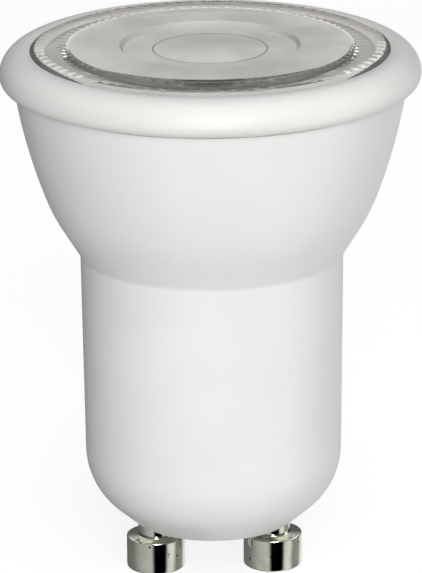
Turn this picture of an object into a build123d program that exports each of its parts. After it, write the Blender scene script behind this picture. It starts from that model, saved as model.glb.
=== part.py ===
"""A 35 mm LED spotlight lamp that stands on the two contact pins of its twist-lock base.

Millimetres. The origin is on the lamp's axis at the feet of the contact pins, +Z runs up to
the lens and the pins stand on the X axis.
"""
from build123d import *
from math import cos, radians
import os

os.makedirs("parts", exist_ok=True)

# Driving dimensions of the outside
lamp_radius = 17.5
pin_spacing = 10.0
pin_head_radius = 2.5
pin_head_height = 2.85
pin_neck_radius = 1.5
base_face_z = 4.58
base_face_radius = 6.8
base_edge_round = 1.4
neck_foot_radius = 10.82
neck_foot_z = 8.12
neck_foot_round = 6.2
neck_top_radius = 11.04
neck_top_z = 28.25
flare_end_radius = 12.55
flare_end_z = 30.7
flare_angle = 31.0
shoulder_radius = 13.99
shoulder_z = 33.7
shoulder_angle = 20.3
cup_rim_radius = 16.3
cup_rim_z = 42.75

# Housing wall and the features moulded inside it
wall = 1.2
floor_z = 6.6
floor_radius = 6.4
bore_foot_radius = 9.7
bore_foot_z = 9.4
bore_top_radius = 9.85
shelf_z = 29.7
spigot_radius = 16.0
spigot_top_z = 43.6
fit_gap = 0.05
pin_boss_radius = 2.6
pin_boss_top_z = 7.4
rail_inner_x = 8.0
rail_outer_x = 9.8
rail_thickness = 0.8
rail_foot_z = 8.6
rail_top_z = 24.0

# Bezel ring
ring_inner_radius = 14.95
ring_inner_z = 45.78
ring_widest_z = 43.8
ring_foot_z = 42.85
lip_under_z = 44.9
flange_pocket_radius = 15.7

# Lens
lens_face_z = 46.2
lens_rim_z = 46.1
lens_rim_radius = 14.3
lens_body_radius = 14.9
lens_edge_z = 45.75
flange_radius = 15.65
flange_step_radius = 13.7
flange_step_z = 43.9
cone_top_radius = 11.9
cone_mid_radius = 9.35
cone_mid_z = 38.6
cone_foot_radius = 4.8
lens_foot_z = 33.1
pocket_mouth_radius = 3.2
pocket_end_radius = 3.0
pocket_end_z = 36.6
pocket_dome_depth = 1.0
recess_radius = 7.5
recess_slope = 0.3
recess_z = 45.75
front_dome_radius = 4.7
front_dome_height = 0.3
window_radius = 11.75
rib_count = 80
rib_end_radius = 14.2
rib_width = 0.5
rib_height = 0.08
rib_root = 0.25

# Heat spreader, light source and their fixings
sheet = 0.8
spreader_top_z = 39.5
pad_thickness = 0.3
pad_radius = 8.3
led_board_radius = 8.5
led_board_thickness = 1.0
led_side = 5.0
led_height = 0.9
led_corner = 0.5
phosphor_radius = 1.9
phosphor_height = 0.2
screw_radius = 1.0
screw_head_radius = 1.75
screw_head_height = 1.0
screw_head_round = 0.6
screw_end_z = 29.1
screw_circle_radius = 7.0
recess_length = 1.6
recess_width = 0.4
recess_depth = 0.5

# Driver board and the parts on its front
board_face_y = 1.5
board_thickness = 1.0
board_half_width = 8.6
board_corner = 0.6
board_foot_z = 11.0
board_top_z = 28.0
can_place = (3.9, 19.2)
can_radius = 3.15
can_height = 7.0
can_edge = 0.4
crimp_offset = 1.0
crimp_width = 0.5
crimp_depth = 0.3
film_place = (-4.6, 25.6)
film_width = 6.2
film_depth = 3.6
film_height = 5.0
choke_place = (-3.8, 19.4)
choke_radius = 3.0
choke_flange = 0.9
choke_height = 5.0
choke_waist_radius = 1.4
coil_radius = 2.6
resistor_z = 12.9
barrel_y = 0.2
barrel_radius = 1.1
barrel_length = 4.4
lead_reach = 3.1
lead_radius = 0.3
lead_bend = 0.5

# Flat parts on the back of the board: places, then width, length and height, then legs a side
flat_parts = {
    "bridge_rectifier": ([(-4.4, 15.6)], (3.8, 4.6, 1.5), 2),
    "driver_chip": ([(3.2, 16.4)], (3.9, 4.9, 1.4), 4),
    "chip_resistors": ([(-5.2, 22.6), (-2.4, 22.6), (2.2, 22.6), (5.0, 22.6)],
                       (1.25, 2.0, 0.5), 0),
}
leg_reach = 1.0
leg_width = 0.4
leg_pitch = 1.25
leg_thickness = 0.3

# Wires
wire_radius = 0.45
wire_bend = 0.9
mains_wire_z = 13.2
led_wire_xs = {"led_wire_plus": 2.0, "led_wire_minus": 5.0}
led_wire_foot_z = 25.0
led_wire_turn_y = -1.5
led_wire_y = -5.6
led_wire_turn_z = 27.5
led_wire_end = 0.4
led_wire_hole = 0.9
led_wire_bend = 2.0

# Contact pins, past the heads
pin_chamfer = 0.2
rivet_radius = 2.1
rivet_height = 0.6
tail_radius = 1.2
tail_top_z = 9.2

flare_slope = (flare_end_radius - neck_top_radius) / (flare_end_z - neck_top_z)
spreader_face_z = shelf_z + sheet
led_board_z = spreader_face_z + pad_thickness
led_face_z = led_board_z + led_board_thickness
board_back_y = board_face_y + board_thickness
board_middle_y = (board_face_y + board_back_y) / 2
board_face = Plane.XZ.offset(-board_face_y)
board_back = Plane(origin=(0, board_back_y, 0), x_dir=(-1, 0, 0), z_dir=(0, 1, 0))
pin_xs = {"contact_pin_left": -pin_spacing / 2, "contact_pin_right": pin_spacing / 2}
wire_holes = [(x, led_wire_y) for x in led_wire_xs.values()]
screw_places = [(-screw_circle_radius, 0), (screw_circle_radius, 0)]
pieces = {}


def flare_radius(height, inset):
    """Radius of the straight flare at a height, moved in by a wall thickness."""
    outside = flare_end_radius - flare_slope * (flare_end_z - height)
    return outside - inset / cos(radians(flare_angle))


def cup_side(foot_z, inset):
    """Draw the cup's side upwards: a straight flare, then two arcs tangent to each other."""
    flare = Line((flare_radius(foot_z, inset), foot_z), (flare_radius(flare_end_z, inset), flare_end_z))
    shoulder = (shoulder_radius - inset / cos(radians(shoulder_angle)), shoulder_z)
    lower = TangentArc(flare @ 1, shoulder, tangent=flare % 1)
    return TangentArc(lower @ 1, (cup_rim_radius - inset, cup_rim_z), tangent=lower % 1)


# Housing: cup, neck and base moulded in one piece
with BuildPart() as housing:
    with BuildSketch(Plane.XZ):
        with BuildLine():
            Polyline((0, base_face_z), (base_face_radius, base_face_z),
                     (neck_foot_radius, neck_foot_z), (neck_top_radius, neck_top_z))
            cup_side(neck_top_z, 0)
            Polyline((cup_rim_radius, cup_rim_z), (spigot_radius, cup_rim_z),
                     (spigot_radius, spigot_top_z), (0, spigot_top_z), (0, base_face_z))
        make_face()
    revolve(axis=Axis.Z)
    fillet(housing.edges().filter_by(GeomType.CIRCLE).sort_by(Axis.Z)[1], radius=neck_foot_round)
    fillet(housing.edges().filter_by(GeomType.CIRCLE).sort_by(Axis.Z)[0], radius=base_edge_round)
    with BuildSketch(Plane.XZ):
        with BuildLine():
            Polyline((0, floor_z), (floor_radius, floor_z), (bore_foot_radius, bore_foot_z),
                     (bore_top_radius, shelf_z), (flare_radius(shelf_z, wall), shelf_z))
            inner_side = cup_side(shelf_z, wall)
            Polyline(inner_side @ 1, (cup_rim_radius - wall, spigot_top_z), (0, spigot_top_z),
                     (0, floor_z))
        make_face()
    revolve(axis=Axis.Z, mode=Mode.SUBTRACT)
    with BuildSketch(Plane.XY.offset(floor_z)):
        with Locations(*[(x, 0) for x in pin_xs.values()]):
            Circle(pin_boss_radius)
    extrude(amount=pin_boss_top_z - floor_z)
    with BuildSketch(Plane.XY.offset(rail_foot_z)):
        rail_middle_x = (rail_inner_x + rail_outer_x) / 2
        with Locations((-rail_middle_x, board_middle_y), (rail_middle_x, board_middle_y)):
            Rectangle(rail_outer_x - rail_inner_x,
                      board_thickness + 2 * (fit_gap + rail_thickness))
    extrude(amount=rail_top_z - rail_foot_z)
    with BuildSketch(Plane.XY.offset(board_foot_z)):
        with Locations((0, board_middle_y)):
            Rectangle(2 * (board_half_width + fit_gap), board_thickness + 2 * fit_gap)
    extrude(amount=rail_top_z - board_foot_z, mode=Mode.SUBTRACT)
    with BuildSketch(Plane.XY.offset(base_face_z)):
        with Locations(*[(x, 0) for x in pin_xs.values()]):
            Circle(pin_neck_radius)
    extrude(amount=pin_boss_top_z - base_face_z, mode=Mode.SUBTRACT)
pieces["housing"] = housing

# Bezel ring: holds the lens flange down on the rim of the cup
with BuildPart() as bezel_ring:
    with BuildSketch(Plane.XZ):
        with BuildLine():
            crown = TangentArc((lamp_radius, ring_widest_z), (ring_inner_radius, ring_inner_z),
                               tangent=(0, 1))
            roll_radius = ring_widest_z - ring_foot_z
            roll = TangentArc((lamp_radius, ring_widest_z),
                              (lamp_radius - roll_radius, ring_foot_z), tangent=(0, -1))
            Polyline(roll @ 1, (spigot_radius + fit_gap, ring_foot_z),
                     (spigot_radius + fit_gap, spigot_top_z), (flange_pocket_radius, spigot_top_z),
                     (flange_pocket_radius, lip_under_z), (ring_inner_radius, lip_under_z),
                     crown @ 1)
        make_face()
    revolve(axis=Axis.Z)
pieces["bezel_ring"] = bezel_ring

# One of the fine ribs on the lens's rim, a wedge with its edge up
with BuildPart() as lens_rib:
    with BuildSketch(Plane.YZ.offset(window_radius - rib_root)):
        with BuildLine():
            Polyline((-rib_width / 2, lens_rim_z - fit_gap), (rib_width / 2, lens_rim_z - fit_gap),
                     (0, lens_rim_z + rib_height), close=True)
        make_face()
    extrude(amount=rib_end_radius - window_radius + rib_root)

# Lens: a clear collimator with a raised window, a flange and a pocket over the light source
with BuildPart() as lens:
    with BuildSketch(Plane.XZ):
        with BuildLine():
            front = TangentArc((0, recess_z + front_dome_height), (front_dome_radius, recess_z),
                               tangent=(1, 0))
            Polyline(front @ 1, (recess_radius - recess_slope, recess_z),
                     (recess_radius, lens_face_z), (window_radius, lens_face_z),
                     (window_radius, lens_rim_z), (lens_rim_radius, lens_rim_z))
            edge = TangentArc((lens_rim_radius, lens_rim_z), (lens_body_radius, lens_edge_z),
                              tangent=(1, 0))
            Polyline(edge @ 1, (lens_body_radius, lip_under_z), (flange_radius, lip_under_z),
                     (flange_radius, spigot_top_z), (flange_step_radius, spigot_top_z),
                     (flange_step_radius, flange_step_z), (cone_top_radius, flange_step_z))
            cone = ThreePointArc((cone_top_radius, flange_step_z), (cone_mid_radius, cone_mid_z),
                                 (cone_foot_radius, lens_foot_z))
            Polyline(cone @ 1, (pocket_mouth_radius, lens_foot_z),
                     (pocket_end_radius, pocket_end_z))
            TangentArc((0, pocket_end_z - pocket_dome_depth), (pocket_end_radius, pocket_end_z),
                       tangent=(1, 0))
            Line((0, pocket_end_z - pocket_dome_depth), front @ 0)
        make_face()
    revolve(axis=Axis.Z)
    with PolarLocations(0, rib_count):
        add(lens_rib.part)
pieces["lens"] = lens

# Heat spreader: a stamped aluminium cup that seats on the shelf inside the housing
with BuildPart() as heat_spreader:
    with BuildSketch(Plane.XZ):
        with BuildLine():
            outer_inset = wall + fit_gap
            inner_inset = outer_inset + sheet
            outer_side = cup_side(shelf_z, outer_inset)
            inner_side = cup_side(spreader_face_z, inner_inset)
            Line(outer_side @ 1, inner_side @ 1)
            Polyline((flare_radius(spreader_face_z, inner_inset), spreader_face_z),
                     (0, spreader_face_z), (0, shelf_z),
                     (flare_radius(shelf_z, outer_inset), shelf_z))
        make_face()
    revolve(axis=Axis.Z)
    split(bisect_by=Plane.XY.offset(spreader_top_z), keep=Keep.BOTTOM)
    with BuildSketch(Plane.XY.offset(shelf_z)):
        with Locations(*screw_places):
            Circle(screw_radius)
        with Locations(*wire_holes):
            Circle(led_wire_hole)
    extrude(amount=sheet, mode=Mode.SUBTRACT)
pieces["heat_spreader"] = heat_spreader

# Thermal pad between the heat spreader and the board of the light source
with BuildPart() as thermal_pad:
    with BuildSketch(Plane.XY.offset(spreader_face_z)):
        Circle(pad_radius)
        with Locations(*screw_places, *wire_holes):
            Circle(screw_radius + fit_gap, mode=Mode.SUBTRACT)
    extrude(amount=pad_thickness)
pieces["thermal_pad"] = thermal_pad

# Metal-core board of the light source
with BuildPart() as led_board:
    with BuildSketch(Plane.XY.offset(led_board_z)):
        Circle(led_board_radius)
        with Locations(*screw_places):
            Circle(screw_radius + fit_gap, mode=Mode.SUBTRACT)
        with Locations(*wire_holes):
            Circle(wire_radius, mode=Mode.SUBTRACT)
    extrude(amount=led_board_thickness)
pieces["led_board"] = led_board

# Light source: a square package with a low phosphor dome
with BuildPart() as led_package:
    with BuildSketch(Plane.XY.offset(led_face_z)):
        RectangleRounded(led_side, led_side, led_corner)
    extrude(amount=led_height)
pieces["led_package"] = led_package

with BuildPart() as led_phosphor:
    with BuildSketch(Plane.XZ):
        with BuildLine():
            phosphor_z = led_face_z + led_height
            bulge = TangentArc((0, phosphor_z + phosphor_height), (phosphor_radius, phosphor_z),
                               tangent=(1, 0))
            Polyline(bulge @ 1, (0, phosphor_z), bulge @ 0)
        make_face()
    revolve(axis=Axis.Z)
pieces["led_phosphor"] = led_phosphor

# Two pan-head screws with cross recesses that hold the board to the heat spreader
with BuildPart() as board_screws:
    with BuildSketch(Plane.XY.offset(screw_end_z)):
        with Locations(*screw_places):
            Circle(screw_radius)
    extrude(amount=led_face_z - screw_end_z)
    with BuildSketch(Plane.XY.offset(led_face_z)):
        with Locations(*screw_places):
            Circle(screw_head_radius)
    extrude(amount=screw_head_height)
    fillet(board_screws.edges().group_by(Axis.Z)[-1], radius=screw_head_round)
    with BuildSketch(Plane.XY.offset(led_face_z + screw_head_height)):
        with Locations(*screw_places):
            Rectangle(recess_length, recess_width)
            Rectangle(recess_width, recess_length)
    extrude(amount=-recess_depth, mode=Mode.SUBTRACT)
pieces["board_screws"] = board_screws

# Contact pins: turned heads with necks riveted over on the bosses inside the base
for name, pin_x in pin_xs.items():
    with BuildPart() as contact_pin:
        with BuildSketch(Plane.XZ):
            with BuildLine():
                Polyline((pin_x, 0), (pin_x + pin_head_radius, 0),
                         (pin_x + pin_head_radius, pin_head_height),
                         (pin_x + pin_neck_radius, pin_head_height),
                         (pin_x + pin_neck_radius, pin_boss_top_z),
                         (pin_x + rivet_radius, pin_boss_top_z),
                         (pin_x + rivet_radius, pin_boss_top_z + rivet_height),
                         (pin_x + tail_radius, pin_boss_top_z + rivet_height),
                         (pin_x + tail_radius, tail_top_z), (pin_x, tail_top_z), close=True)
            make_face()
        revolve(axis=Axis((pin_x, 0, 0), (0, 0, 1)))
        foot_edge = contact_pin.edges().filter_by(GeomType.CIRCLE).sort_by(Axis.Z)[0]
        chamfer(foot_edge, length=pin_chamfer)
    pieces[name] = contact_pin

# Driver board, held upright between the rails of the housing
with BuildPart() as driver_board:
    with BuildSketch(Plane.XZ.offset(-board_back_y)):
        with Locations((0, (board_foot_z + board_top_z) / 2)):
            RectangleRounded(2 * board_half_width, board_top_z - board_foot_z, board_corner)
    extrude(amount=board_thickness)
pieces["driver_board"] = driver_board

# Output capacitor: a can with a crimped waist, standing on the board's face
with BuildPart() as output_capacitor:
    with BuildSketch(board_face):
        with Locations(can_place):
            Circle(can_radius)
    extrude(amount=can_height)
    fillet(output_capacitor.edges().sort_by(Axis.Y)[0], radius=can_edge)
    with BuildSketch(board_face.offset(crimp_offset)):
        with Locations(can_place):
            Circle(can_radius)
            Circle(can_radius - crimp_depth, mode=Mode.SUBTRACT)
    extrude(amount=crimp_width, mode=Mode.SUBTRACT)
pieces["output_capacitor"] = output_capacitor

# Input capacitor: a film block
with BuildPart() as input_capacitor:
    with BuildSketch(board_face):
        with Locations(film_place):
            Rectangle(film_width, film_depth)
    extrude(amount=film_height)
    fillet(input_capacitor.edges().group_by(Axis.Y)[0], radius=can_edge)
pieces["input_capacitor"] = input_capacitor

# Choke: a drum core on the board's face, and the coil wound on its waist
choke_waist = choke_height - 2 * choke_flange
with BuildPart() as inductor_core:
    with BuildSketch(board_face):
        with Locations(choke_place):
            Circle(choke_radius)
    extrude(amount=choke_height)
    with BuildSketch(board_face.offset(choke_flange)):
        with Locations(choke_place):
            Circle(choke_radius)
            Circle(choke_waist_radius, mode=Mode.SUBTRACT)
    extrude(amount=choke_waist, mode=Mode.SUBTRACT)
pieces["inductor_core"] = inductor_core

with BuildPart() as inductor_coil:
    with BuildSketch(board_face.offset(choke_flange)):
        with Locations(choke_place):
            Circle(coil_radius)
            Circle(choke_waist_radius, mode=Mode.SUBTRACT)
    extrude(amount=choke_waist)
pieces["inductor_coil"] = inductor_coil

# Fusible resistor: a barrel on one bent wire whose ends meet the board
with BuildPart() as fusible_resistor:
    with BuildLine():
        lead = FilletPolyline((-lead_reach, board_face_y, resistor_z),
                              (-lead_reach, barrel_y, resistor_z),
                              (lead_reach, barrel_y, resistor_z),
                              (lead_reach, board_face_y, resistor_z), radius=lead_bend)
    with BuildSketch(Plane(origin=lead @ 0, z_dir=lead % 0)):
        Circle(lead_radius)
    sweep()
    with BuildSketch(Plane.YZ.offset(-barrel_length / 2)):
        with Locations((barrel_y, resistor_z)):
            Circle(barrel_radius)
    extrude(amount=barrel_length)
    barrel_ends = fusible_resistor.edges().filter_by(GeomType.CIRCLE)
    fillet(barrel_ends.filter_by(lambda edge: edge.radius == barrel_radius), radius=lead_radius)
pieces["fusible_resistor"] = fusible_resistor

# Flat parts soldered on the back of the board, each with its rows of legs
for name, (places, (width, length, height), legs) in flat_parts.items():
    leg_x = (width + leg_reach) / 2
    leg_places = [(x + side * leg_x, z + leg_pitch * (row - (legs - 1) / 2))
                  for x, z in places for side in (-1, 1) for row in range(legs)]
    with BuildPart() as flat_part:
        with BuildSketch(board_back):
            with Locations(*places):
                Rectangle(width, length)
        extrude(amount=height)
        if leg_places:
            with BuildSketch(board_back):
                with Locations(*leg_places):
                    Rectangle(leg_reach + leg_width, leg_width)
            extrude(amount=leg_thickness)
    pieces[name] = flat_part

# Mains wires, from the tails of the pins to the foot of the driver board
for name, wire_x in {"live_wire": -pin_spacing / 2, "neutral_wire": pin_spacing / 2}.items():
    with BuildPart() as mains_wire:
        with BuildLine():
            route = FilletPolyline((wire_x, 0, tail_top_z), (wire_x, 0, mains_wire_z),
                                   (wire_x, board_face_y, mains_wire_z), radius=wire_bend)
        with BuildSketch(Plane(origin=route @ 0, z_dir=route % 0)):
            Circle(wire_radius)
        sweep()
    pieces[name] = mains_wire

# Wires from the driver board up through the heat spreader to the light source's board
for name, wire_x in led_wire_xs.items():
    with BuildPart() as led_wire:
        with BuildLine():
            route = FilletPolyline((wire_x, board_face_y, led_wire_foot_z),
                                   (wire_x, led_wire_turn_y, led_wire_foot_z),
                                   (wire_x, led_wire_y, led_wire_turn_z),
                                   (wire_x, led_wire_y, led_face_z + led_wire_end),
                                   radius=led_wire_bend)
        with BuildSketch(Plane(origin=route @ 0, z_dir=route % 0)):
            Circle(wire_radius)
        sweep()
    pieces[name] = led_wire

for name, piece in pieces.items():
    piece.part.label = name
    export_step(piece.part, f"parts/{name}.step")
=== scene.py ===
"""A 35 mm spotlight lamp on its two contact pins: surfaces, finishes, light and camera.

The classes hold their sizes in millimetres, and the meshes are made in metres in the frame of
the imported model, with +Z along the lamp's axis and the pins on the X axis.
"""
import logging
import math
from collections.abc import Sequence
from dataclasses import dataclass, field
from enum import Enum

import bpy
import numpy as np
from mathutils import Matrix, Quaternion, Vector


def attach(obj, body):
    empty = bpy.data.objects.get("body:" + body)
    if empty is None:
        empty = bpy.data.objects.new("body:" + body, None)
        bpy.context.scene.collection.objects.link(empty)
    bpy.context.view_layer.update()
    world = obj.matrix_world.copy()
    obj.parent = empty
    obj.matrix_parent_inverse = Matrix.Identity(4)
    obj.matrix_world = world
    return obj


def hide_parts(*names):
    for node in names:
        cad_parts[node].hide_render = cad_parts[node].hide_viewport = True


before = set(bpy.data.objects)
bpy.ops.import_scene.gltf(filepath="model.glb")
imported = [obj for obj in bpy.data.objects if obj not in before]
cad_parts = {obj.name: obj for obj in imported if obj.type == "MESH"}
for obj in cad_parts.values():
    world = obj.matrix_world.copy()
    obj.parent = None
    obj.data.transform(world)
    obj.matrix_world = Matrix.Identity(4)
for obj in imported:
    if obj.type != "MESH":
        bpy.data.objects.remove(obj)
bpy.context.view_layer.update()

logging.basicConfig(level=logging.INFO, format="%(name)s: %(message)s")
log = logging.getLogger("lamp")

MM = 0.001
NO_LENGTH = 1e-9
SAME_POINT = 1e-7
PIN_REACH = 5.0
Colour = tuple[float, float, float]
Point = tuple[float, float]
Socket = bpy.types.NodeSocket

# Spans of a noise's values that are stretched over a finish's whole range
TONE_SPAN = (0.35, 0.65)
PATCH_SPAN = (0.38, 0.62)
SHEEN_SPAN = (0.3, 0.7)


class Relief(Enum):
    """How the fine relief of a finish runs over its surface."""

    MOULDED = "even orange peel from a polished mould"
    TURNED = "fine rings round the axis that the piece was turned on"


# Profiles: outlines of turned pieces, as rows of radius and height


def line(*points: Point) -> np.ndarray:
    """Straight runs through the points, as an array of one row a point."""
    return np.array(points, dtype=float)


def tangent_arc(start: Point, end: Point, heading: Point, steps: int = 12) -> np.ndarray:
    """Arc that leaves one point in a given direction and ends at another.

    The centre lies on the normal to the heading through the start, at the distance that makes
    it as far from the end. The arc turns by twice the angle between heading and chord.

    Args:
        start: first point of the arc.
        end: last point of the arc.
        heading: direction in which the arc leaves the start.
        steps: number of chords.

    Returns:
        The arc's points, first and last included.
    """
    p, q = np.array(start, float), np.array(end, float)
    ahead = np.array(heading, float) / np.hypot(*heading)
    side = np.array([-ahead[1], ahead[0]])
    chord = q - p
    offset = side @ chord
    if abs(offset) < NO_LENGTH:
        return p + np.linspace(0, 1, steps + 1)[:, None] * chord
    radius = (chord @ chord) / (2 * offset)
    turn = np.linspace(0, 2 * math.atan2(offset, ahead @ chord), steps + 1)[:, None]
    return p + radius * (side + ahead * np.sin(turn) - side * np.cos(turn))


def rounded(corners: list[Point], radii: Sequence[float], steps: int = 6) -> np.ndarray:
    """Polyline whose inner corners are replaced by arcs tangent to both runs.

    Each arc starts at a distance from its corner of the radius times the tangent of half the
    turn there. A radius of zero keeps the corner.

    Args:
        corners: the polyline's points.
        radii: one radius for each inner corner.
        steps: number of chords in each arc.

    Returns:
        The rounded outline's points.
    """
    points = [np.array(c, float) for c in corners]
    runs = [points[0][None]]
    for before, here, after, radius in zip(points, points[1:], points[2:], radii):
        into = (here - before) / np.linalg.norm(here - before)
        out = (after - here) / np.linalg.norm(after - here)
        half_turn = 0.5 * math.acos(np.clip(into @ out, -1, 1))
        reach = radius * math.tan(half_turn)
        if reach < NO_LENGTH:
            runs.append(here[None])
        else:
            runs.append(tangent_arc(here - into * reach, here + out * reach, into, steps))
    return np.concatenate(runs + [points[-1][None]])


def joined(*runs: np.ndarray) -> np.ndarray:
    """Outlines end to end, with the points dropped that repeat the one before them.

    Args:
        runs: the outlines, in order.

    Returns:
        The whole outline's points.
    """
    points = np.concatenate(runs)
    step = np.linalg.norm(np.diff(points, axis=0), axis=1)
    return points[np.concatenate([[True], step > SAME_POINT])]


# Surfaces


@dataclass
class Surface:
    """A mesh as whole arrays: corners, faces of four and of three, and a place on the sheet."""

    points: np.ndarray
    quads: np.ndarray
    fans: np.ndarray
    quad_uv: np.ndarray
    fan_uv: np.ndarray

    def volume(self) -> float:
        """Signed volume: the sum of the tetrahedra from the origin to each triangle.

        Returns:
            The volume in cubic metres, below zero where the faces point inwards.
        """
        halves = [self.quads[:, [0, 1, 2]], self.quads[:, [0, 2, 3]], self.fans]
        a, b, c = np.moveaxis(self.points[np.concatenate(halves)], 1, 0)
        return float(np.einsum("ij,ij->i", a, np.cross(b, c)).sum() / 6)

    def middles(self) -> np.ndarray:
        """The mean of each face's corners, faces of four first."""
        return np.concatenate([self.points[self.quads].mean(axis=1),
                               self.points[self.fans].mean(axis=1)])

    def outward(self) -> "Surface":
        """Turn every face of the closed surface outwards, by the sign of its volume.

        Returns:
            The surface itself, or a turned copy of it.
        """
        if self.volume() >= 0:
            return self
        return Surface(self.points, self.quads[:, ::-1], self.fans[:, ::-1],
                       self.quad_uv[:, ::-1], self.fan_uv[:, ::-1])


def sheet_places(*corners: tuple[np.ndarray, np.ndarray | float]) -> np.ndarray:
    """Places on the sheet, as one row a face of one place a corner.

    Args:
        corners: for each corner the shares of a turn and the lengths along the profile.

    Returns:
        An array of faces, corners and the two numbers.
    """
    return np.stack([np.stack(np.broadcast_arrays(u, v), 1) for u, v in corners], axis=1)


def turned(profile: np.ndarray, segments: int, centre_x: float = 0.0,
           lift: np.ndarray | None = None) -> Surface:
    """Surface of revolution about an upright axis.

    A point is x = r cos a, y = r sin a, z = h, where r and h run along the profile and a runs
    round the axis. A profile that starts and ends on the axis is closed by one point at each
    pole, and any other is a closed loop. The sheet place of a point is the share of a turn and
    the length along the profile.

    Args:
        profile: rows of radius and height, in millimetres.
        segments: number of steps in a turn.
        centre_x: where the axis stands on the X axis, in millimetres.
        lift: height added at each profile row and step of the turn, in millimetres.

    Returns:
        The surface, in metres, with its faces outwards.
    """
    poled = profile[0, 0] < SAME_POINT
    along = np.concatenate([[0], np.cumsum(np.linalg.norm(np.diff(profile, axis=0), axis=1))])
    ring = profile[1:-1] if poled else profile[:-1]
    ring_along = along[1:-1] if poled else along
    angle = np.arange(segments) * 2 * np.pi / segments
    rows, cols = len(ring), segments
    height = np.repeat(ring[:, 1:2], cols, axis=1)
    if lift is not None:
        height = height + (lift[1:-1] if poled else lift[:-1])
    grid = np.stack([centre_x + ring[:, :1] * np.cos(angle), ring[:, :1] * np.sin(angle), height],
                    axis=-1)
    bands = rows - 1 if poled else rows
    i, j = np.meshgrid(np.arange(bands), np.arange(cols), indexing="ij")
    i, j = i.ravel(), j.ravel()
    up, over = (i + 1) % rows, (j + 1) % cols
    quads = np.stack([i * cols + j, i * cols + over, up * cols + over, up * cols + j], axis=1)
    u, v = j / cols, ring_along[i]
    u_next, v_next = (j + 1) / cols, ring_along[i + 1]
    quad_uv = sheet_places((u, v), (u_next, v), (u_next, v_next), (u, v_next))
    points = grid.reshape(-1, 3)
    fans = np.zeros((0, 3), int)
    fan_uv = np.zeros((0, 3, 2))
    if poled:
        poles = np.array([[centre_x, 0, profile[0, 1]], [centre_x, 0, profile[-1, 1]]])
        first, last = len(points), len(points) + 1
        points = np.concatenate([points, poles])
        k = np.arange(cols)
        k_next = (k + 1) % cols
        top = (rows - 1) * cols
        fans = np.concatenate([
            np.stack([np.full(cols, first), k_next, k], axis=1),
            np.stack([np.full(cols, last), top + k, top + k_next], axis=1)])
        share, share_next = k / cols, (k + 1) / cols
        middle = (share + share_next) / 2
        foot, end = ring_along[0], ring_along[-1]
        fan_uv = np.concatenate([
            sheet_places((middle, 0.0), (share_next, foot), (share, foot)),
            sheet_places((middle, along[-1]), (share, end), (share_next, end))])
    return Surface(points * MM, quads, fans, quad_uv, fan_uv).outward()


def mesh_piece(name: str, surface: Surface, finishes: list[bpy.types.Material], nodes: list[str],
               crease: float = 40.0, picks: np.ndarray | None = None) -> bpy.types.Object:
    """Put a surface into a mesh object that rides on the lamp and stands for CAD nodes.

    Args:
        name: the piece's name.
        surface: the surface to show.
        finishes: its materials.
        nodes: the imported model's nodes that the piece replaces.
        crease: edges that turn by more than this, in degrees, stay sharp.
        picks: which of the materials each face wears, the first when left out.

    Returns:
        The new object.
    """
    mesh = bpy.data.meshes.new(name)
    mesh.from_pydata(surface.points.tolist(), [], surface.quads.tolist() + surface.fans.tolist())
    sheet = mesh.uv_layers.new(name="sheet")
    places = np.concatenate([surface.quad_uv.reshape(-1, 2), surface.fan_uv.reshape(-1, 2)])
    sheet.data.foreach_set("uv", places.astype(np.float32).ravel())
    for finish in finishes:
        mesh.materials.append(finish)
    if picks is not None:
        mesh.polygons.foreach_set("material_index", picks)
    mesh.shade_smooth()
    mesh.set_sharp_from_angle(angle=math.radians(crease))
    piece = bpy.data.objects.new(name, mesh)
    bpy.context.scene.collection.objects.link(piece)
    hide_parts(*nodes)
    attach(piece, "root")
    log.info("%s: %d faces, stands for %s", name, len(mesh.polygons), ", ".join(nodes))
    return piece


# Finishes


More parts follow.
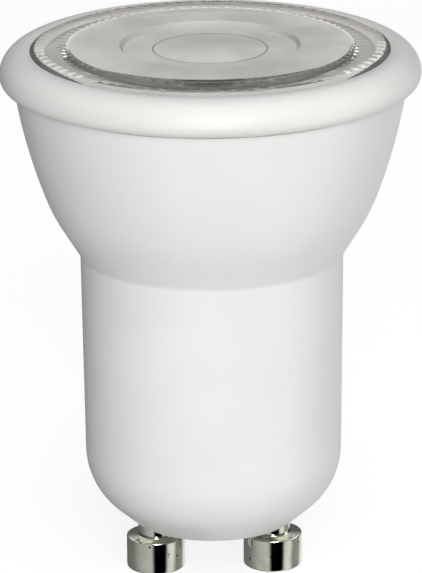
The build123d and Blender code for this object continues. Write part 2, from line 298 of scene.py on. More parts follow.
class Graph:
    """A node tree that is being filled."""

    def __init__(self, tree: bpy.types.NodeTree) -> None:
        """Keep the tree and empty it."""
        self.tree = tree
        self.tree.nodes.clear()

    def add(self, kind: str, inputs: dict[str | int, object] | None = None,
            **settings: object) -> bpy.types.Node:
        """Add a node.

        Args:
            kind: the node's type.
            inputs: what its inputs get, by name or place: a socket to join or a value.
            settings: values of its own settings, by name.

        Returns:
            The new node.
        """
        node = self.tree.nodes.new(kind)
        for key, value in settings.items():
            setattr(node, key, value)
        for key, value in (inputs or {}).items():
            if isinstance(value, Socket):
                self.join(value, node.inputs[key])
            else:
                node.inputs[key].default_value = value
        return node

    def join(self, out: Socket, into: Socket) -> None:
        """Join an output to an input."""
        self.tree.links.new(out, into)

    def math(self, operation: str, first: Socket | float, second: Socket | float) -> Socket:
        """The output of a Math node that works on two sockets or plain numbers."""
        return self.add("ShaderNodeMath", {0: first, 1: second}, operation=operation).outputs[0]

    def scaled(self, value: Socket, given: Point, made: Point = (0.0, 1.0)) -> Socket:
        """Carry a value from the given span to the one to be made, and hold it there."""
        return self.add("ShaderNodeMapRange", {
            "Value": value, "From Min": given[0], "From Max": given[1],
            "To Min": made[0], "To Max": made[1]}).outputs[0]

    def blend(self, share: Socket, first: Socket | Colour, second: Colour) -> Socket:
        """Mix two colours, where the share says how much of the second one shows."""
        base = first if isinstance(first, Socket) else (*first, 1)
        return self.add("ShaderNodeMix", {"Factor": share, "A": base, "B": (*second, 1)},
                        data_type="RGBA").outputs["Result"]

    def position(self) -> bpy.types.Node:
        """The node that splits the piece's own coordinates into X, Y and Z."""
        place = self.add("ShaderNodeTexCoord")
        return self.add("ShaderNodeSeparateXYZ", {0: place.outputs["Object"]})

    def effect(self, name: str, values: dict[str, float] | None = None) -> bpy.types.Node:
        """Place a shared effect with its own values."""
        return self.add("ShaderNodeGroup", values, node_tree=shared_group(name))

    def choose(self, share: Socket, first: Socket, second: Socket) -> Socket:
        """Mix two shaders, where the share says how much of the second one shows."""
        return self.add("ShaderNodeMixShader", {0: share, 1: first, 2: second}).outputs[0]

    def ramp(self, value: Socket, stops: tuple[Point, ...]) -> Socket:
        """Read a grey level by a value, in straight runs between stops.

        Args:
            value: the value.
            stops: rows of value and level.

        Returns:
            The level as a colour.
        """
        ramp = self.add("ShaderNodeValToRGB", {0: value})
        elements = ramp.color_ramp.elements
        for position, _ in stops[len(elements):]:
            elements.new(position)
        for element, (position, level) in zip(elements, stops):
            element.position = position
            element.color = (level, level, level, 1)
        return ramp.outputs[0]

    def relief(self, height: Socket, depth: float, shader: bpy.types.Node) -> None:
        """Raise a relief on a shader's surface.

        Args:
            height: the relief, from 0 to 1.
            depth: its depth in millimetres.
            shader: the Principled shader.
        """
        bump = self.add("ShaderNodeBump", {
            "Strength": 1.0, "Distance": depth * MM, "Height": height})
        self.join(bump.outputs[0], shader.inputs["Normal"])


def group(name: str, inputs: dict[str, float], outputs: list[str]) -> tuple[
        Graph, bpy.types.Node, bpy.types.Node]:
    """An empty shader node group with float inputs and outputs.

    Args:
        name: the group's name.
        inputs: each input's name and default.
        outputs: the outputs' names.

    Returns:
        The group's graph, its input node and its output node.
    """
    tree = bpy.data.node_groups.new(name, "ShaderNodeTree")
    for key, value in inputs.items():
        socket = tree.interface.new_socket(key, in_out="INPUT", socket_type="NodeSocketFloat")
        socket.default_value = value
    for key in outputs:
        tree.interface.new_socket(key, in_out="OUTPUT", socket_type="NodeSocketFloat")
    graph = Graph(tree)
    return graph, graph.add("NodeGroupInput"), graph.add("NodeGroupOutput")


def mottle_group() -> bpy.types.NodeTree:
    """Slow drift of tone and a fine even relief, from two noises on the object's own place.

    Returns:
        The effect's node group.
    """
    graph, given, made = group("surface_mottle", {"Drift": 90.0, "Grain": 2500.0},
                               ["Tone", "Height"])
    place = graph.add("ShaderNodeTexCoord")
    for scale, out, detail in (("Drift", "Tone", 3.0), ("Grain", "Height", 2.0)):
        noise = graph.add("ShaderNodeTexNoise", {
            "Vector": place.outputs["Object"], "Scale": given.outputs[scale],
            "Detail": detail, "Roughness": 0.55})
        graph.join(noise.outputs["Fac"], made.inputs[out])
    return graph.tree


def speck_group() -> bpy.types.NodeTree:
    """Sparse small dots: one in each cell of a Voronoi pattern, where the cell's colour allows.

    Returns:
        The effect's node group.
    """
    graph, given, made = group("surface_specks", {"Scale": 900.0, "Size": 0.12, "Share": 0.2},
                               ["Mask"])
    place = graph.add("ShaderNodeTexCoord")
    cells = graph.add("ShaderNodeTexVoronoi", {
        "Vector": place.outputs["Object"], "Scale": given.outputs["Scale"]}, feature="F1")
    near = graph.math("LESS_THAN", cells.outputs["Distance"], given.outputs["Size"])
    tint = graph.add("ShaderNodeSeparateColor", {0: cells.outputs["Color"]})
    picked = graph.math("LESS_THAN", tint.outputs[0], given.outputs["Share"])
    graph.join(graph.math("MULTIPLY", near, picked), made.inputs["Mask"])
    return graph.tree


def streak_group() -> bpy.types.NodeTree:
    """Fine lines across the sheet: a noise drawn out round the turn, so it reads as rings.

    Returns:
        The effect's node group.
    """
    graph, given, made = group("surface_streaks", {"Lines": 9.0, "Round": 3.0}, ["Height"])
    place = graph.add("ShaderNodeUVMap", uv_map="sheet")
    parts = graph.add("ShaderNodeSeparateXYZ", {0: place.outputs[0]})
    drawn = graph.add("ShaderNodeCombineXYZ", {
        0: graph.math("MULTIPLY", parts.outputs[0], given.outputs["Round"]),
        1: graph.math("MULTIPLY", parts.outputs[1], given.outputs["Lines"])})
    noise = graph.add("ShaderNodeTexNoise", {
        "Vector": drawn.outputs[0], "Scale": 1.0, "Detail": 4.0, "Roughness": 0.65})
    graph.join(noise.outputs["Fac"], made.inputs["Height"])
    return graph.tree


def sector_group() -> bpy.types.NodeTree:
    """Soft sectors round the upright axis: a noise read at the direction away from the axis.

    Returns:
        The effect's node group.
    """
    graph, given, made = group("soft_sectors", {"Sectors": 3.0}, ["Tone"])
    parts = graph.position()
    level = graph.add("ShaderNodeCombineXYZ", {0: parts.outputs[0], 1: parts.outputs[1]})
    away = graph.add("ShaderNodeVectorMath", {0: level.outputs[0]}, operation="NORMALIZE")
    noise = graph.add("ShaderNodeTexNoise", {
        "Vector": away.outputs[0], "Scale": given.outputs["Sectors"],
        "Detail": 3.0, "Roughness": 0.6})
    graph.join(noise.outputs["Fac"], made.inputs["Tone"])
    return graph.tree


def shared_group(name: str) -> bpy.types.NodeTree:
    """One of the shared effects by name, made on its first use."""
    makers = {"surface_mottle": mottle_group, "surface_specks": speck_group,
              "surface_streaks": streak_group, "soft_sectors": sector_group}
    return bpy.data.node_groups.get(name) or makers[name]()


def new_material(name: str, values: dict[str, float]) -> tuple[
        bpy.types.Material, Graph, bpy.types.Node]:
    """Make a material with one Principled shader joined to its output.

    Args:
        name: the finish's name.
        values: the shader's constant values, by socket.

    Returns:
        The material, its graph and the shader.
    """
    material = bpy.data.materials.new(f"look_{name}")
    material.use_nodes = True
    graph = Graph(material.node_tree)
    shader = graph.add("ShaderNodeBsdfPrincipled", values)
    graph.add("ShaderNodeOutputMaterial", {0: shader.outputs[0]})
    return material, graph, shader


@dataclass(frozen=True)
class Acrylic:
    """Clear or hazy moulded acrylic, with a matt back below a given height in millimetres, whose
    colour there darkens to a grey of painted shade.
    """

    name: str
    colour: Colour
    patch_colour: Colour
    roughness: tuple[float, float]
    transmission: float = 1.0
    ior: float = 1.49
    patch_grain: float = 260.0
    ripples_per_patch: float = 6.0
    ripple: float = 0.004
    sectors: float = 0.0
    matt: float = 0.5
    # Grey of painted shade that the back's colour turns to, for the dark inside of the lamp seen
    # through it
    matt_shade_colour: Colour = (0.30, 0.31, 0.29)
    matt_below: float = 43.5

    def material(self) -> bpy.types.Material:
        """Build the acrylic's procedural material.

        Returns:
            The material, whose sheen drifts in patches and turns matt on the lens's back, where
            its colour darkens as painted shade of the dark inside.
        """
        material, graph, shader = new_material(self.name, {
            "IOR": self.ior, "Transmission Weight": self.transmission})
        mottle = graph.effect("surface_mottle", {
            "Drift": self.patch_grain, "Grain": self.patch_grain * self.ripples_per_patch})
        deep = graph.math("LESS_THAN", graph.position().outputs[2], self.matt_below * MM)
        sheen = graph.scaled(mottle.outputs["Tone"], TONE_SPAN, self.roughness)
        rough = graph.add("ShaderNodeMix", {"Factor": deep, "A": sheen, "B": self.matt},
                          data_type="FLOAT")
        graph.join(rough.outputs["Result"], shader.inputs["Roughness"])
        fans = graph.effect("soft_sectors").outputs["Tone"]
        mixed = graph.add("ShaderNodeMix", {
            "Factor": self.sectors, "A": mottle.outputs["Tone"], "B": fans}, data_type="FLOAT")
        tone = graph.scaled(mixed.outputs["Result"], PATCH_SPAN)
        front = graph.blend(tone, self.colour, self.patch_colour)
        # Painted shade: below the matt height the colour blends to a dark grey, for the dark
        # inside seen through the back
        graph.join(graph.blend(deep, front, self.matt_shade_colour), shader.inputs["Base Color"])
        graph.relief(mottle.outputs["Height"], self.ripple, shader)
        return material


@dataclass(frozen=True)
class Finish:
    """A surface finish: two close colours, a sheen and a fine relief.

    Relief depth is in millimetres and grain in features a metre. A share of specks above zero
    scatters small dots of the speck colour.
    """

    name: str
    colour: Colour
    drift_colour: Colour
    roughness: float
    roughness_spread: float = 0.06
    metallic: float = 0.0
    ior: float = 1.47
    relief: Relief = Relief.MOULDED
    relief_depth: float = 0.004
    grain: float = 2500.0
    drift: float = 90.0
    speck_share: float = 0.0
    speck_size: float = 0.12
    speck_scale: float = 900.0
    speck_colour: Colour = (0.2, 0.2, 0.2)

    def material(self) -> bpy.types.Material:
        """Build the procedural material of this finish, once.

        Returns:
            The material, with a Principled shader fed by the shared groups.
        """
        made = bpy.data.materials.get(f"look_{self.name}")
        if made:
            return made
        material, graph, shader = new_material(self.name, {
            "Metallic": self.metallic, "IOR": self.ior})
        mottle = graph.effect("surface_mottle", {"Drift": self.drift, "Grain": self.grain})
        tone = graph.scaled(mottle.outputs["Tone"], TONE_SPAN)
        colour = graph.blend(tone, self.colour, self.drift_colour)
        if self.speck_share > 0:
            specks = graph.effect("surface_specks", {
                "Scale": self.speck_scale, "Size": self.speck_size, "Share": self.speck_share})
            colour = graph.blend(specks.outputs["Mask"], colour, self.speck_colour)
        graph.join(colour, shader.inputs["Base Color"])
        height, drift = mottle.outputs["Height"], mottle.outputs["Tone"]
        if self.relief is Relief.TURNED:
            height = drift = graph.effect("surface_streaks").outputs["Height"]
        sheen = (max(0.0, self.roughness - self.roughness_spread),
                 self.roughness + self.roughness_spread)
        graph.join(graph.scaled(drift, SHEEN_SPAN, sheen), shader.inputs["Roughness"])
        graph.relief(height, self.relief_depth, shader)
        return material


HOUSING_WHITE = Finish("housing_white", (0.805, 0.80, 0.785), (0.835, 0.83, 0.815), 0.36, 0.05,
                       relief_depth=0.0006, grain=1500.0)
BEZEL_WHITE = Finish("bezel_white", (0.76, 0.755, 0.737), (0.79, 0.785, 0.767), 0.41, 0.03,
                     relief_depth=0.0003, grain=1500.0)
CLEAR_LENS = Acrylic("clear_lens", (0.975, 0.962, 0.935), (0.985, 0.972, 0.945), (0.01, 0.03))
WINDOW = Acrylic("hazy_window", (0.82, 0.81, 0.775), (1.0, 0.99, 0.95), (0.28, 0.42),
                 transmission=0.2, patch_grain=135.0, ripple=0.012, sectors=0.2)
# Dark acrylic of painted shade: it stands in for the shadow in the narrow gap between the lens's
# side and the ring, and for a dark outline beside it
GAP_SHADE = Acrylic("gap_painted_shade", (0.07, 0.07, 0.065), (0.11, 0.11, 0.105), (0.3, 0.4),
              transmission=0.3)
ETCHED = Acrylic("etched_edge", (0.88, 0.87, 0.84), (0.96, 0.95, 0.925), (0.4, 0.5),
                 transmission=0.55)
# Near-white frosted acrylic that paints light in: glints on the ribs' ends and on ticks, and the
# lit seat seen through the rim
GLINT_FROST = Acrylic("frost_painted_glints_and_light", (0.98, 0.965, 0.94), (0.99, 0.98, 0.955), (0.5, 0.6),
                transmission=0.02)
NICKEL = Finish("turned_nickel", (0.63, 0.64, 0.55), (0.77, 0.775, 0.68), 0.07, 0.03, metallic=1.0,
                relief=Relief.TURNED, relief_depth=0.004, drift=900.0, speck_share=0.5,
                speck_size=0.17, speck_scale=1700.0, speck_colour=(0.03, 0.03, 0.025))


# Sub-assemblies


@dataclass
class Shell:
    """The moulded housing: base, neck and cup in one wall. Sizes in millimetres."""

    base_face_z: float = 4.58
    base_face_radius: float = 6.8
    base_edge_round: float = 1.4
    neck_foot: Point = (10.82, 8.12)
    neck_foot_round: float = 6.2
    neck_top: Point = (11.04, 28.25)
    crease_round: float = 0.8
    flare_end: Point = (12.55, 30.7)
    shoulder: Point = (13.99, 33.7)
    rim: Point = (16.3, 42.7)
    spigot: Point = (15.9, 43.6)
    spigot_round: float = 0.1
    flare_angle: float = 31.0
    shoulder_angle: float = 20.3
    wall: float = 1.2
    shelf_z: float = 29.7
    bore: tuple[Point, ...] = ((0.0, 6.6), (6.4, 6.6), (9.7, 9.4), (9.85, 29.7))
    segments: int = 180

    def side(self, inset: float, foot: Point, corner_round: float) -> np.ndarray:
        """The cup's side: a straight flare and two arcs, each tangent to the one below.

        Args:
            inset: how far the side is moved in from the outside.
            foot: where the flare starts.
            corner_round: radius of the blend at the foot, when the run below it is the neck.

        Returns:
            The side's points from the foot up to the rim.
        """
        flare_inset = inset / math.cos(math.radians(self.flare_angle))
        shoulder_inset = inset / math.cos(math.radians(self.shoulder_angle))
        end = (self.flare_end[0] - flare_inset, self.flare_end[1])
        turn = (self.shoulder[0] - shoulder_inset, self.shoulder[1])
        start = line(foot) if corner_round == 0 else rounded(
            [(foot[0], foot[1] - 2 * corner_round), foot, end], [corner_round])[1:-1]
        heading = (end[0] - foot[0], end[1] - foot[1])
        lower = tangent_arc(end, turn, heading, steps=10)
        leaving = lower[-1] - lower[-2]
        upper = tangent_arc(turn, (self.rim[0] - inset, self.rim[1]), leaving, steps=16)
        return joined(start, lower, upper)

    def flare_radius(self, height: float, inset: float) -> float:
        """Radius of the straight flare at a height.

        Args:
            height: the height.
            inset: how far the flare is moved in from the outside.

        Returns:
            The radius, from the flare's slope between its two ends.
        """
        slope = (self.flare_end[0] - self.neck_top[0]) / (self.flare_end[1] - self.neck_top[1])
        outside = self.flare_end[0] - slope * (self.flare_end[1] - height)
        return outside - inset / math.cos(math.radians(self.flare_angle))

    def profile(self) -> np.ndarray:
        """Outline of the wall: outside from the base's middle to the rim, then back inside.

        Returns:
            The outline's points.
        """
        outside = rounded([(0, self.base_face_z), (self.base_face_radius, self.base_face_z),
                           self.neck_foot, self.neck_top],
                          [self.base_edge_round, self.neck_foot_round], steps=14)
        side = self.side(0, self.neck_top, self.crease_round)
        step = rounded([tuple(side[-1]), (self.spigot[0], self.rim[1]), self.spigot,
                        (self.rim[0] - self.wall, self.spigot[1])],
                       [0.0, self.spigot_round], steps=3)
        shelf = (self.flare_radius(self.shelf_z, self.wall), self.shelf_z)
        inner = self.side(self.wall, shelf, 0)[::-1]
        return joined(outside[:-1], side, step, inner, line(*self.bore[::-1]))

    def build(self) -> bpy.types.Object:
        """Make the housing's mesh and dress it."""
        return mesh_piece("housing_shell", turned(self.profile(), self.segments),
                          [HOUSING_WHITE.material()], ["housing"])


@dataclass
class Bezel:
    """The ring that holds the lens down on the cup's rim. Sizes in millimetres."""

    widest: Point = (17.5, 43.8)
    crown_end: Point = (14.95, 45.78)
    foot_z: float = 42.86
    bore_radius: float = 16.05
    rim_z: float = 43.6
    pocket_radius: float = 15.7
    lip_z: float = 44.9
    segments: int = 192

    def profile(self) -> np.ndarray:
        """Closed outline: up round the widest place, over the crown, down inside, along the foot.

        Returns:
            The outline's points, the last the same as the first.
        """
        roll_end = (self.widest[0] - (self.widest[1] - self.foot_z), self.foot_z)
        roll = tangent_arc(self.widest, roll_end, (0, -1), steps=14)[::-1]
        crown = tangent_arc(self.widest, self.crown_end, (0, 1), steps=24)
        inside = line(self.crown_end, (self.crown_end[0], self.lip_z),
                      (self.pocket_radius, self.lip_z), (self.pocket_radius, self.rim_z),
                      (self.bore_radius, self.rim_z), (self.bore_radius, self.foot_z))
        return joined(roll, crown, inside, roll[:1])

    def build(self) -> bpy.types.Object:
        """Make the ring's mesh and dress it."""
        return mesh_piece("bezel_ring_body", turned(self.profile(), self.segments),
                          [BEZEL_WHITE.material()], ["bezel_ring"])


@dataclass
class Lens:
    """The clear collimating lens with its ring of ribs. Sizes in millimetres."""

    face_z: float = 46.13
    window_radius: float = 11.68
    rim: Point = (14.3, 46.1)
    body: Point = (14.9, 45.75)
    lip_z: float = 44.88
    flange_radius: float = 15.65
    flange_z: float = 43.62
    step: Point = (13.7, 43.9)
    ribs: tuple[Point, ...] = (
        (11.70, 0.0), (11.92, 0.095), (12.05, 0.034), (12.4, 0.026), (13.0, 0.0),
        (13.6, 0.0), (14.2, 0.035), (14.6, 0.0))
    # Where the painted glints sit: the ribs' inner ends on the back half and ticks on the front
    # sides
    inner_ends: tuple[float, float] = (11.70, 11.92)
    inner_ends_from: float = -0.8
    outer_ends: tuple[float, float] = (13.9, 14.5)
    outer_ends_from: float = 10.4
    outline_from: float = 14.5
    # Width and taper of the dark outline of painted shade on the rolled edge at the sides
    shade_outline_width: float = 0.34
    shade_outline_taper: float = 2.6
    circle_width: float = 0.09
    seat_radius: float = 12.3
    haze_radius: float = 13.0
    haze_shift: float = 1.95
    cone_top: Point = (11.9, 43.9)
    cone_middle: Point = (9.35, 38.6)
    cone_foot: Point = (4.8, 33.1)
    pocket_mouth_radius: float = 3.2
    pocket_end: Point = (3.0, 36.6)
    pocket_dome_depth: float = 1.0
    recess_radius: float = 7.5
    recess_slope: float = 0.3
    recess_z: float = 45.75
    dome_radius: float = 4.7
    dome_height: float = 0.3
    rib_count: int = 80
    steps_per_rib: int = 6
    tick_share: float = 0.35
    near: float = 0.02
    seat_drop: float = 0.1
    gap_depth: float = 0.03
    face_rows_from: float = 10.9
    face_rows: int = 16
    end_rows: tuple[float, float, int] = (11.72, 12.08, 10)
    rim_rows: tuple[float, float, int] = (12.2, 14.0, 11)
    rim_roll: float = 0.25
    recess_rounds: tuple[float, ...] = (0.05, 0.06)
    flange_rounds: tuple[float, ...] = (0.05, 0.08, 0.08, 0.04, 0.04, 0.0)
    mouth_round: float = 0.08
    crease: float = 30.0

    def cone(self, steps: int = 28) -> np.ndarray:
        """The cone's side as an arc through its top, middle and foot.

        The circle is the one as far from all three points, found from the two equations that
        say so.

        Args:
            steps: number of chords.

        Returns:
            The side's points, from the top down.
        """
        a, b, c = (np.array(p) for p in (self.cone_top, self.cone_middle, self.cone_foot))
        lines = 2 * np.array([b - a, c - a])
        centre = np.linalg.solve(lines, np.array([b @ b - a @ a, c @ c - a @ a]))
        spoke = a - centre
        heading = np.array([spoke[1], -spoke[0]])
        heading = heading if heading @ (c - a) > 0 else -heading
        return tangent_arc(self.cone_top, self.cone_foot, tuple(heading), steps)

    def front(self) -> np.ndarray:
        """Outline of the front: dome, recess, raised window, ribbed rim and rolled edge.

        Returns:
            The outline's points from the axis to the edge.
        """
        dome_top = (0, self.recess_z + self.dome_height)
        circle = self.dome_radius + self.circle_width
        recess = rounded([(circle, self.recess_z),
                          (self.recess_radius - self.recess_slope, self.recess_z),
                          (self.recess_radius, self.face_z), (self.face_rows_from, self.face_z)],
                         self.recess_rounds, steps=4)
        face = np.linspace(self.face_rows_from, self.window_radius, self.face_rows)
        rim = np.concatenate([[self.window_radius + self.near], np.linspace(*self.end_rows),
                              np.linspace(*self.rim_rows)])
        return joined(
            tangent_arc(dome_top, (self.dome_radius, self.recess_z), (1, 0)), recess,
            np.stack([face, np.full(len(face), self.face_z)], axis=1),
            np.stack([rim, np.full(len(rim), self.rim[1])], axis=1),
            tangent_arc((self.rim[0] - self.rim_roll, self.rim[1]), self.body, (1, 0), steps=14))

    def flange(self) -> np.ndarray:
        """Outline of the side, the flange and the step under it, down to the cone's top.

        Returns:
            The outline's points.
        """
        return rounded([self.body, (self.body[0], self.lip_z), (self.flange_radius, self.lip_z),
                        (self.flange_radius, self.flange_z), (self.step[0], self.flange_z),
                        self.step, (self.seat_radius, self.step[1]), self.cone_top],
                       self.flange_rounds, steps=3)

    def back(self) -> np.ndarray:
        """Outline of the cone and of the domed pocket behind it, up to the axis.

        Returns:
            The outline's points.
        """
        mouth = rounded([self.cone_foot, (self.pocket_mouth_radius, self.cone_foot[1]),
                         self.pocket_end], [self.mouth_round], steps=4)
        dome_top = (0, self.pocket_end[1] - self.pocket_dome_depth)
        return joined(self.cone(), mouth, tangent_arc(dome_top, self.pocket_end, (1, 0))[::-1])

    def rib_lift(self, profile: np.ndarray, shape: np.ndarray) -> np.ndarray:
        """Height that the ribs add to the rim: straight runs by radius, times the rib's shape.

        Args:
            profile: the lens's outline.
            shape: the rib's shape round the turn, from 0 to 1.

        Returns:
            One height for each point of the outline and step of the turn.
        """
        radius, height = np.array(self.ribs).T
        top = (profile[:, 0] > self.window_radius) & (profile[:, 1] > self.body[1] + SAME_POINT)
        return (np.interp(profile[:, 0], radius, height) * top)[:, None] * shape

    def dressing(self, surface: Surface, shape: np.ndarray) -> np.ndarray:
        """Which finish each face wears.

        Args:
            surface: the lens's surface.
            shape: the rib's shape round the turn, from 0 to 1.

        Returns:
            For each face 0 for clear and the circle round the dome, 1 for the hazy window, 2 for
            frosted white that paints light in: the rim's underside, for the lit seat seen through
                it,
            and glints on the inner ends of the ribs at the back and on ticks at the front sides, 3
            for the lightly etched front edge, underside step and recess's slope, and 4 for dark
            acrylic that paints the shade in the gap between the lens's side and the ring, and a
            dark outline of painted shade beside it at the sides.
        """
        x, y, height = (surface.middles() / MM).T
        radius, top = np.hypot(x, y), height > self.body[1]
        step = (np.arctan2(y, x) / (2 * np.pi) * len(shape)).astype(int)
        hazy = np.hypot(x, y - self.haze_shift) < self.haze_radius
        slope = np.abs(radius - self.recess_radius + self.recess_slope / 2) < self.recess_slope / 2
        window = hazy & (radius < self.window_radius) & (height > self.recess_z - self.near)
        # Painted glints: near-white inner ends of the ribs on the back half, and short ticks on
        # the front sides
        ends = top & (radius > self.inner_ends[0]) & (radius < self.inner_ends[1]) & (
            y > self.inner_ends_from)
        ticks = top & (radius > self.outer_ends[0]) & (radius < self.outer_ends[1]) & (
            shape[step] > self.tick_share) & (np.abs(x) > self.outer_ends_from) & (y < 0)
        # Painted shade: a dark outline on the rolled edge at the sides, widening away from the
        # middle
        aside = np.clip((np.abs(x) - self.outer_ends_from) / self.shade_outline_taper, 0, 1)
        outline = top & (radius > self.body[0] - self.shade_outline_width * aside)
        edge = top & (radius > self.outline_from) & ~outline & (
            np.abs(x) < self.outer_ends_from + self.shade_outline_taper)
        circle = (radius > self.dome_radius) & (radius < self.dome_radius + self.circle_width)
        under = (radius > self.seat_radius) & (height < self.step[1] + self.near)
        # Painted light: the rim's underside is near white, for the lit seat seen through it
        seat = under & (height < self.step[1] - self.seat_drop)
        # Painted shade: the lens's side that faces the ring is dark, for the shadow in the gap
        gap = (np.abs(radius - self.body[0]) < self.gap_depth) & (height > self.lip_z) & (
            height < self.body[1])
        picks = np.select(
            [slope & window, window & ~circle, ends | ticks | seat, edge | under, gap | outline],
            [3, 1, 2, 3, 4], 0)
        return picks.astype(np.int32)

    def build(self) -> bpy.types.Object:
        """Make the lens's mesh, with ribs on its rim, and dress its window, ribs and clear rest.

        A rib's shape round the turn is the positive part of the cosine of the rib count times
        the angle.

        Returns:
            The lens object.
        """
        profile = joined(self.front(), self.flange(), self.back())
        segments = self.rib_count * self.steps_per_rib
        angle = np.arange(segments) * 2 * np.pi / segments
        shape = np.clip(np.cos(self.rib_count * angle), 0, None)
        surface = turned(profile, segments, lift=self.rib_lift(profile, shape))
        finishes = [finish.material() for finish in (CLEAR_LENS, WINDOW, GLINT_FROST, ETCHED, GAP_SHADE)]
        return mesh_piece("collimator_lens", surface, finishes, ["lens"], self.crease,
                          self.dressing(surface, shape))


@dataclass
class ContactPin:
    """One turned contact pin of the twist-lock base. Sizes in millimetres."""

    centre_x: float
    name: str
    node: str
    head_radius: float = 2.5
    head_height: float = 2.85
    neck_radius: float = 1.5
    boss_top_z: float = 7.4
    rivet_radius: float = 2.1
    rivet_height: float = 0.6
    tail_radius: float = 1.2
    tail_top_z: float = 9.2
    foot_round: float = 0.2
    shoulder_round: float = 0.12
    neck_rounds: tuple[float, ...] = (0.08, 0.0, 0.1, 0.2, 0.1, 0.1)
    segments: int = 96

    def build(self) -> bpy.types.Object:
        """Make the pin's mesh from its turned outline and dress it.

        Returns:
            The pin object.
        """
        rivet_top = self.boss_top_z + self.rivet_height
        profile = rounded(
            [(0, 0), (self.head_radius, 0), (self.head_radius, self.head_height),
             (self.neck_radius, self.head_height), (self.neck_radius, self.boss_top_z),
             (self.rivet_radius, self.boss_top_z), (self.rivet_radius, rivet_top),
             (self.tail_radius, rivet_top), (self.tail_radius, self.tail_top_z),
             (0, self.tail_top_z)],
            [self.foot_round, self.shoulder_round, *self.neck_rounds], steps=5)
        return mesh_piece(self.name, turned(profile, self.segments, self.centre_x),
                          [NICKEL.material()], [self.node])


@dataclass
class Innards:
    """Everything sealed in the housing, which keeps its CAD shape and gets its finish."""

    finishes: dict[str, Finish] = field(default_factory=lambda: {
        "heat_spreader": Finish("spreader_sheet", (0.70, 0.71, 0.71), (0.78, 0.79, 0.79), 0.34,
                                0.1, metallic=1.0, relief_depth=0.006),
        "thermal_pad": Finish("pad_silicone", (0.38, 0.40, 0.43), (0.45, 0.47, 0.50), 0.6),
        "led_board": Finish("board_mask_white", (0.78, 0.78, 0.76), (0.84, 0.84, 0.82), 0.45),
        "led_package": Finish("package_ceramic", (0.82, 0.81, 0.78), (0.86, 0.85, 0.82), 0.5),
        "led_phosphor": Finish("phosphor_silicone", (0.80, 0.74, 0.42), (0.85, 0.80, 0.50), 0.35),
        "board_screws": Finish("screw_zinc", (0.55, 0.56, 0.56), (0.66, 0.66, 0.64), 0.3,
                               metallic=1.0),
        "driver_board": Finish("board_mask_green", (0.02, 0.16, 0.06), (0.03, 0.22, 0.09), 0.35),
        "output_capacitor": Finish("sleeve_navy", (0.02, 0.03, 0.08), (0.04, 0.05, 0.12), 0.3),
        "input_capacitor": Finish("film_case_yellow", (0.60, 0.42, 0.05), (0.68, 0.50, 0.08), 0.5),
        "inductor_core": Finish("ferrite", (0.035, 0.032, 0.03), (0.06, 0.055, 0.05), 0.55),
        "inductor_coil": Finish("coil_enamel", (0.42, 0.14, 0.04), (0.58, 0.22, 0.07), 0.3,
                                metallic=1.0),
        "fusible_resistor": Finish("glazed_barrel", (0.12, 0.26, 0.17), (0.16, 0.32, 0.22), 0.3),
        "bridge_rectifier": Finish("epoxy_black", (0.018, 0.018, 0.018), (0.035, 0.035, 0.035),
                                   0.5),
        "driver_chip": Finish("epoxy_grey", (0.02, 0.02, 0.022), (0.04, 0.04, 0.045), 0.55),
        "chip_resistors": Finish("resistor_film", (0.03, 0.03, 0.035), (0.05, 0.05, 0.06), 0.4),
        "live_wire": Finish("sleeve_brown", (0.10, 0.04, 0.015), (0.14, 0.06, 0.025), 0.4),
        "neutral_wire": Finish("sleeve_blue", (0.02, 0.08, 0.35), (0.03, 0.11, 0.42), 0.4),
        "led_wire_plus": Finish("sleeve_red", (0.42, 0.015, 0.01), (0.5, 0.03, 0.02), 0.4),
        "led_wire_minus": Finish("sleeve_black", (0.012, 0.012, 0.012), (0.03, 0.03, 0.03), 0.4),
    })

    def build(self) -> None:
        """Put each finish into the slots of its node."""
        for node, finish in self.finishes.items():
            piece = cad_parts[node]
            piece.data.materials.clear()
            piece.data.materials.append(finish.material())
            log.info("%s: finished as %s", node, finish.name)


@dataclass(frozen=True)
class SoftLamp:
    """A square soft lamp that faces the aim.

    Azimuth runs round from the front towards the right and elevation up from the horizon, both
    in degrees. Distance and the square's side are in metres, and power in watts.
    """

    name: str
    azimuth: float
    elevation: float
    distance: float
    side: float
    power: float


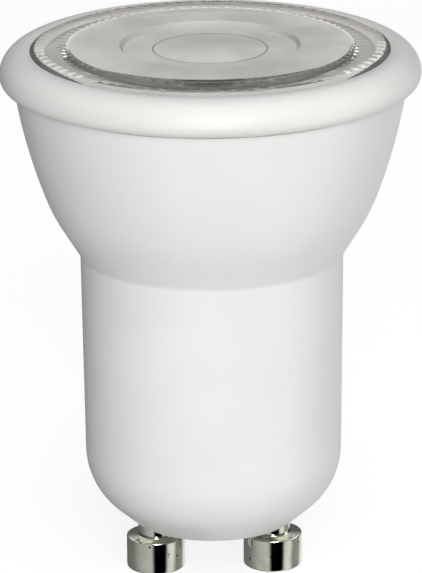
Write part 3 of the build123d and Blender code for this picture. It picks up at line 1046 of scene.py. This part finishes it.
@dataclass
class Studio:
    """Floor, surroundings, lamps and camera.

    Distances are in metres, angles in degrees and the camera's sensor in millimetres.
    """

    aim: tuple[float, float, float] = (-0.0001, 0.0, 0.025)
    camera_distance: float = 0.385
    camera_elevation: float = 18.15
    camera_azimuth: float = -2.0
    camera_roll: float = -0.5
    pixels_per_radian: float = 4572.9
    picture_height: int = 573
    sensor: float = 36.0
    clip_start: float = 0.01
    floor_reach: float = 3.0
    surround: float = 0.29
    floor_tone: float = 0.35
    floor_glow: float = 0.79
    bounce_tone: float = 0.56
    mirrored_above: tuple[Point, ...] = ((0.0, 0.06), (0.36, 0.09), (0.55, 0.8), (1.0, 0.8))
    mirrored_strength: float = 1.5
    mirrored_round: tuple[Point, ...] = (
        (-170, 0.15), (-100, 0.22), (-60, 0.5), (-20, 0.62), (-8, 0.0), (36, 0.0),
        (48, 0.8), (66, 0.95), (86, 0.3), (120, 0.35), (135, 0.9))
    through_strength: float = 2.0
    lamps: tuple[SoftLamp, ...] = (
        SoftLamp("key", 4, 22, 0.60, 0.35, 1.84), SoftLamp("low", 0, 3, 0.60, 0.10, 0.85),
        SoftLamp("side", 95, 12, 0.60, 0.30, 0.36), SoftLamp("top", 10, 76, 0.50, 0.30, 0.52))

    def stand(self, name: str, data: bpy.types.ID, azimuth: float, elevation: float,
              distance: float, roll: float = 0.0) -> bpy.types.Object:
        """Stand a lamp or the camera so that it faces the aim.

        Args:
            name: the object's name.
            data: the lamp or camera.
            azimuth: degrees round from the front, towards the right.
            elevation: degrees above the horizon.
            distance: metres from the aim.
            roll: degrees about the line of sight.

        Returns:
            The new object.
        """
        a, e = math.radians(azimuth), math.radians(elevation)
        away = Vector((math.sin(a) * math.cos(e), -math.cos(a) * math.cos(e), math.sin(e)))
        stood = bpy.data.objects.new(name, data)
        stood.location = Vector(self.aim) + away * distance
        facing = (stood.location - Vector(self.aim)).to_track_quat("Z", "Y")
        stood.rotation_mode = "QUATERNION"
        stood.rotation_quaternion = facing @ Quaternion((0, 0, 1), math.radians(roll))
        bpy.context.scene.collection.objects.link(stood)
        return stood

    def floor(self) -> bpy.types.Object:
        """A wide white floor that glows just enough to read as white and keeps the shadow.

        Mirrored rays pass through it to the surroundings, so the pins show the studio's dark
        card and soft boxes instead of the floor's near edge.

        Returns:
            The floor object.
        """
        mesh = bpy.data.meshes.new("floor")
        corners = self.floor_reach * np.array([(-1, -1, 0), (1, -1, 0), (1, 1, 0), (-1, 1, 0)])
        mesh.from_pydata(corners.tolist(), [], [(0, 1, 2, 3)])
        material = bpy.data.materials.new("floor_white")
        material.use_nodes = True
        graph = Graph(material.node_tree)
        path = graph.add("ShaderNodeLightPath")
        lit, bounce = (graph.add("ShaderNodeBsdfDiffuse", {"Color": (tone, tone, tone, 1)})
                       for tone in (self.floor_tone, self.bounce_tone))
        glow = graph.add("ShaderNodeEmission", {"Strength": self.floor_glow})
        shown = graph.add("ShaderNodeAddShader", {0: lit.outputs[0], 1: glow.outputs[0]})
        open_floor = graph.add("ShaderNodeBsdfTransparent")
        direct = graph.math("MAXIMUM", path.outputs["Is Camera Ray"],
                            path.outputs["Is Transmission Ray"])
        seen = graph.choose(direct, bounce.outputs[0], shown.outputs[0])
        full = graph.choose(path.outputs["Is Glossy Ray"], seen, open_floor.outputs[0])
        graph.add("ShaderNodeOutputMaterial", {0: full})
        mesh.materials.append(material)
        floor = bpy.data.objects.new("floor", mesh)
        bpy.context.scene.collection.objects.link(floor)
        return floor

    def world(self) -> None:
        """Surroundings: white to the camera, even light on matt surfaces, and a studio in mirrors.

        Mirrored rays below the horizon read a grey level by their turn round the upright axis,
        with a dark card to the right of the front and a soft box beside it. Above it they read
        a level by their height. Rays that leave the clear lens see an even bright white.
        """
        world = bpy.data.worlds.new("surroundings")
        world.use_nodes = True
        bpy.context.scene.world = world
        graph = Graph(world.node_tree)
        path = graph.add("ShaderNodeLightPath")
        place = graph.add("ShaderNodeTexCoord")
        way = graph.add("ShaderNodeSeparateXYZ", {0: place.outputs["Generated"]})
        front = graph.math("MULTIPLY", way.outputs[1], -1.0)
        turn = graph.math("ARCTAN2", way.outputs[0], front)
        share = graph.math("ADD", graph.math("DIVIDE", turn, 2 * math.pi), 0.5)
        stops = tuple((0.5 + degrees / 360, level) for degrees, level in self.mirrored_round)
        below = graph.add("ShaderNodeBackground", {"Color": graph.ramp(share, stops)})
        above = graph.add("ShaderNodeBackground", {
            "Color": graph.ramp(way.outputs[2], self.mirrored_above),
            "Strength": self.mirrored_strength})
        even, white, through = (
            graph.add("ShaderNodeBackground", {"Color": (1, 1, 1, 1), "Strength": strength})
            for strength in (self.surround, 1.0, self.through_strength))
        is_above = graph.math("GREATER_THAN", way.outputs[2], 0.0)
        mirrored = graph.choose(is_above, below.outputs[0], above.outputs[0])
        full = graph.choose(path.outputs["Is Glossy Ray"], even.outputs[0], mirrored)
        full = graph.choose(path.outputs["Is Transmission Ray"], full, through.outputs[0])
        full = graph.choose(path.outputs["Is Camera Ray"], full, white.outputs[0])
        graph.add("ShaderNodeOutputWorld", {0: full})

    def camera(self) -> bpy.types.Object:
        """Stand the camera where the photo was taken from, with the lens of the same reach.

        Returns:
            The camera object.
        """
        data = bpy.data.cameras.new("view")
        data.sensor_fit = "VERTICAL"
        data.sensor_height = data.sensor_width = self.sensor
        data.lens = self.pixels_per_radian * self.sensor / self.picture_height
        data.clip_start = self.clip_start
        camera = self.stand("view", data, self.camera_azimuth, self.camera_elevation,
                            self.camera_distance, self.camera_roll)
        bpy.context.scene.camera = camera
        return camera

    def build(self) -> None:
        """Set up the camera, the surroundings, the floor and the lamps."""
        self.camera()
        self.world()
        self.floor()
        for given in self.lamps:
            light = bpy.data.lights.new(given.name, "AREA")
            light.size, light.energy = given.side, given.power
            self.stand(given.name, light, given.azimuth, given.elevation, given.distance)
        bpy.context.scene.view_settings.view_transform = "Standard"


def main() -> None:
    """Build the studio and then each sub-assembly."""
    Studio().build()
    Shell().build()
    Bezel().build()
    Lens().build()
    for side, x in (("left", -PIN_REACH), ("right", PIN_REACH)):
        ContactPin(x, f"turned_pin_{side}", f"contact_pin_{side}").build()
    Innards().build()


if __name__ == "__main__":
    main()
